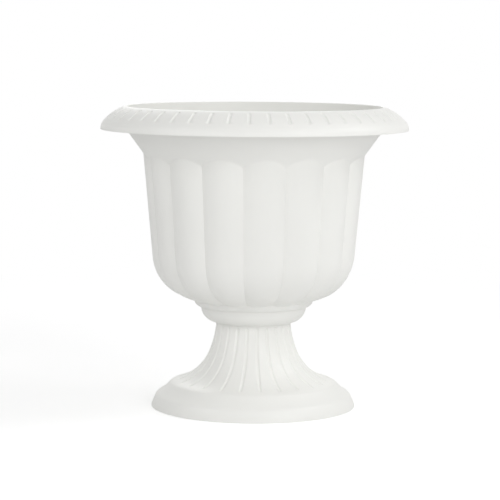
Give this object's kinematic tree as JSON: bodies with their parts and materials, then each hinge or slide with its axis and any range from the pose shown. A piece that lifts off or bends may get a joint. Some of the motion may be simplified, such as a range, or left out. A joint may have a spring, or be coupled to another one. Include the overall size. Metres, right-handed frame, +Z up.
{
  "type": "urn planter",
  "caption": "Tall two-piece garden urn planter with a lobed bowl, a rolled and notched rim and a waisted, grooved pedestal foot.",
  "frame": {"origin": "centre of the foot's rest plane, on the urn's axis", "axes": "+Z up along the urn's axis; +X and -Y each through the crest of a lobe"},
  "size_m": [0.4795, 0.4796, 0.47],
  "materials": {
    "urn_plastic": "white moulded plastic with a soft satin sheen",
    "plated_steel": "zinc plated, slightly dull",
    "black_rubber": "matte black rubber"
  },
  "bodies": {
    "urn": {"bowl": "urn_plastic", "pedestal": "urn_plastic", "fixing_bolt": "plated_steel", "sealing_washer": "black_rubber", "flat_washer": "plated_steel"},
    "wing_nut": {"wing_nut": "plated_steel"},
    "plug_1": {"drain_plug_1": "black_rubber"},
    "plug_2": {"drain_plug_2": "black_rubber"},
    "plug_3": {"drain_plug_3": "black_rubber"},
    "plug_4": {"drain_plug_4": "black_rubber"}
  },
  "joints": [
    {"name": "wing_nut_turn", "type": "hinge", "parent": "urn", "child": "wing_nut", "pos_m": [0, 0, 0.1174], "axis": [0, 0, 1], "range_deg": [-360, 0]},
    {"name": "drain_plug_1_pull", "type": "slide", "parent": "urn", "child": "plug_1", "axis": [0, 0, 1], "range_m": [0, 0.03]},
    {"name": "drain_plug_2_pull", "type": "slide", "parent": "urn", "child": "plug_2", "axis": [0, 0, 1], "range_m": [0, 0.03]},
    {"name": "drain_plug_3_pull", "type": "slide", "parent": "urn", "child": "plug_3", "axis": [0, 0, 1], "range_m": [0, 0.03]},
    {"name": "drain_plug_4_pull", "type": "slide", "parent": "urn", "child": "plug_4", "axis": [0, 0, 1], "range_m": [0, 0.03]}
  ]
}
